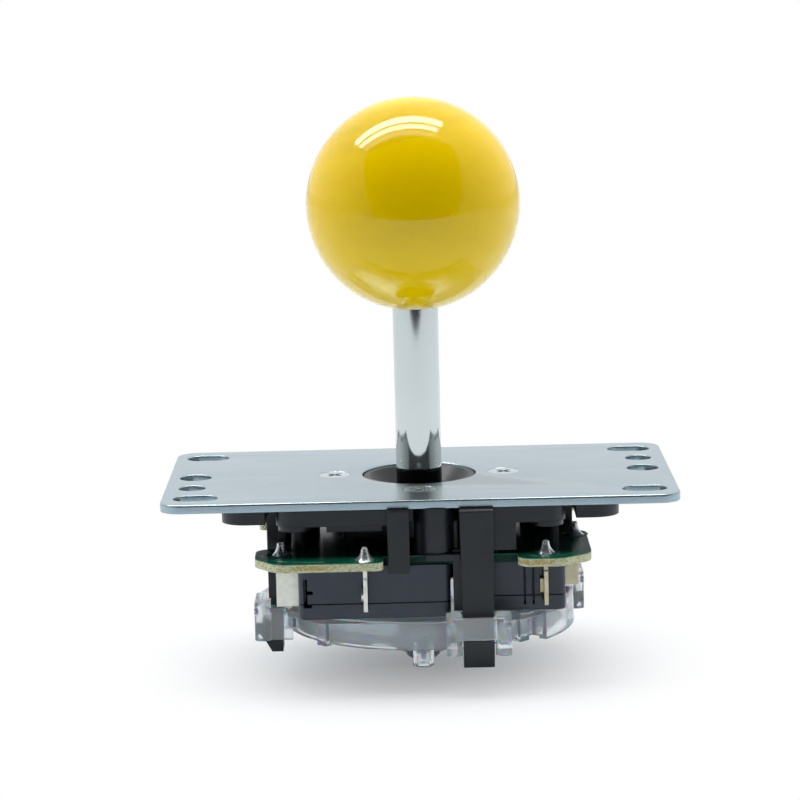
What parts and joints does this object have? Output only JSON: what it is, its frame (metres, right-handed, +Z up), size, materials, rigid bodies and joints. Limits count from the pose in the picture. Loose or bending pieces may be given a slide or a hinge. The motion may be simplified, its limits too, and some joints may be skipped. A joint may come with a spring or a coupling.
{
  "type": "arcade joystick lever",
  "caption": "Ball-top arcade joystick with a flat slotted mounting plate, lever switches on a circuit board and a clear square gate.",
  "frame": {"origin": "centre of the mounting plate's top face, on the lever's axis at rest", "axes": "+Z up the lever towards the ball, +X along the 95 mm side of the mounting plate, -Y towards the player"},
  "size_m": [0.095, 0.0639, 0.1067],
  "materials": {
    "ball_resin": "polished",
    "insert_brass": "machined",
    "shaft_chrome": "polished",
    "clip_steel": "satin",
    "spring_steel": "satin",
    "pivot_plastic": "satin",
    "plate_zinc": "zinc plated",
    "screw_zinc": "zinc plated",
    "housing_plastic": "moulded",
    "board_laminate": "gloss",
    "solder": "bright",
    "header_nylon": "satin",
    "terminal_brass": "tinned",
    "switch_plastic": "moulded",
    "plunger_plastic": "moulded",
    "lever_steel": "satin",
    "clear_polycarbonate": "clear, polished"
  },
  "bodies": {
    "base": {"mounting_plate": "plate_zinc", "plate_screws": "screw_zinc", "housing": "housing_plastic", "circuit_board": "board_laminate", "solder_joints": "solder", "pin_header": "header_nylon", "header_pins": "terminal_brass", "spring_seat": "clip_steel", "gate_base": "clear_polycarbonate", "restrictor_disc": "clear_polycarbonate", "switch_case_front": "switch_plastic", "switch_cover_front": "switch_plastic", "switch_terminals_front": "terminal_brass", "switch_case_right": "switch_plastic", "switch_cover_right": "switch_plastic", "switch_terminals_right": "terminal_brass", "switch_case_back": "switch_plastic", "switch_cover_back": "switch_plastic", "switch_terminals_back": "terminal_brass", "switch_case_left": "switch_plastic", "switch_cover_left": "switch_plastic", "switch_terminals_left": "terminal_brass"},
    "spring": {"return_spring": "spring_steel"},
    "tilt": {"pivot": "pivot_plastic", "actuator": "pivot_plastic", "actuator_washer": "clip_steel"},
    "lever": {"shaft": "shaft_chrome", "ball_top": "ball_resin", "ball_insert": "insert_brass", "e_clip": "clip_steel"},
    "front_switch_lever": {"switch_lever_front": "lever_steel"},
    "front_plunger": {"switch_plunger_front": "plunger_plastic"},
    "right_switch_lever": {"switch_lever_right": "lever_steel"},
    "right_plunger": {"switch_plunger_right": "plunger_plastic"},
    "back_switch_lever": {"switch_lever_back": "lever_steel"},
    "back_plunger": {"switch_plunger_back": "plunger_plastic"},
    "left_switch_lever": {"switch_lever_left": "lever_steel"},
    "left_plunger": {"switch_plunger_left": "plunger_plastic"}
  },
  "joints": [
    {"name": "tilt_left_right", "type": "hinge", "parent": "base", "child": "spring", "pos_m": [0, 0, -0.007], "axis": [0, 1, 0], "range_deg": [-8, 8], "stiffness_Nm_per_rad": 1, "deforming": ["return_spring"]},
    {"name": "tilt_front_back", "type": "hinge", "parent": "spring", "child": "tilt", "pos_m": [0, 0, -0.007], "axis": [1, 0, 0], "range_deg": [-8, 8], "stiffness_Nm_per_rad": 1, "deforming": ["return_spring"]},
    {"name": "lever_spin", "type": "hinge", "parent": "tilt", "child": "lever", "pos_m": [0, 0, -0.007], "axis": [0, 0, 1], "continuous": true},
    {"name": "front_switch_lever_swing", "type": "hinge", "parent": "base", "child": "front_switch_lever", "pos_m": [-0.019, -0.0113, -0.01695], "axis": [0, 0, 1], "range_deg": [-4, 4]},
    {"name": "right_switch_lever_swing", "type": "hinge", "parent": "base", "child": "right_switch_lever", "pos_m": [0.0113, -0.019, -0.01695], "axis": [0, 0, 1], "range_deg": [-4, 4]},
    {"name": "back_switch_lever_swing", "type": "hinge", "parent": "base", "child": "back_switch_lever", "pos_m": [0.019, 0.0113, -0.01695], "axis": [0, 0, 1], "range_deg": [-4, 4]},
    {"name": "left_switch_lever_swing", "type": "hinge", "parent": "base", "child": "left_switch_lever", "pos_m": [-0.0113, 0.019, -0.01695], "axis": [0, 0, 1], "range_deg": [-4, 4]},
    {"name": "front_plunger_press", "type": "slide", "parent": "base", "child": "front_plunger", "axis": [0, -1, 0], "range_m": [-0.001, 0.001]},
    {"name": "right_plunger_press", "type": "slide", "parent": "base", "child": "right_plunger", "axis": [1, 0, 0], "range_m": [-0.001, 0.001]},
    {"name": "back_plunger_press", "type": "slide", "parent": "base", "child": "back_plunger", "axis": [0, 1, 0], "range_m": [-0.001, 0.001]},
    {"name": "left_plunger_press", "type": "slide", "parent": "base", "child": "left_plunger", "axis": [-1, 0, 0], "range_m": [-0.001, 0.001]}
  ],
  "couplings": [
    {"joint": "front_switch_lever_swing", "follows": "tilt_front_back", "ratio": 0.4875},
    {"joint": "right_switch_lever_swing", "follows": "tilt_left_right", "ratio": 0.4875},
    {"joint": "back_switch_lever_swing", "follows": "tilt_front_back", "ratio": -0.4875},
    {"joint": "left_switch_lever_swing", "follows": "tilt_left_right", "ratio": -0.4875},
    {"joint": "front_plunger_press", "follows": "tilt_front_back", "m_per_rad": -0.0068},
    {"joint": "right_plunger_press", "follows": "tilt_left_right", "m_per_rad": -0.0068},
    {"joint": "back_plunger_press", "follows": "tilt_front_back", "m_per_rad": 0.0068},
    {"joint": "left_plunger_press", "follows": "tilt_left_right", "m_per_rad": 0.0068}
  ]
}
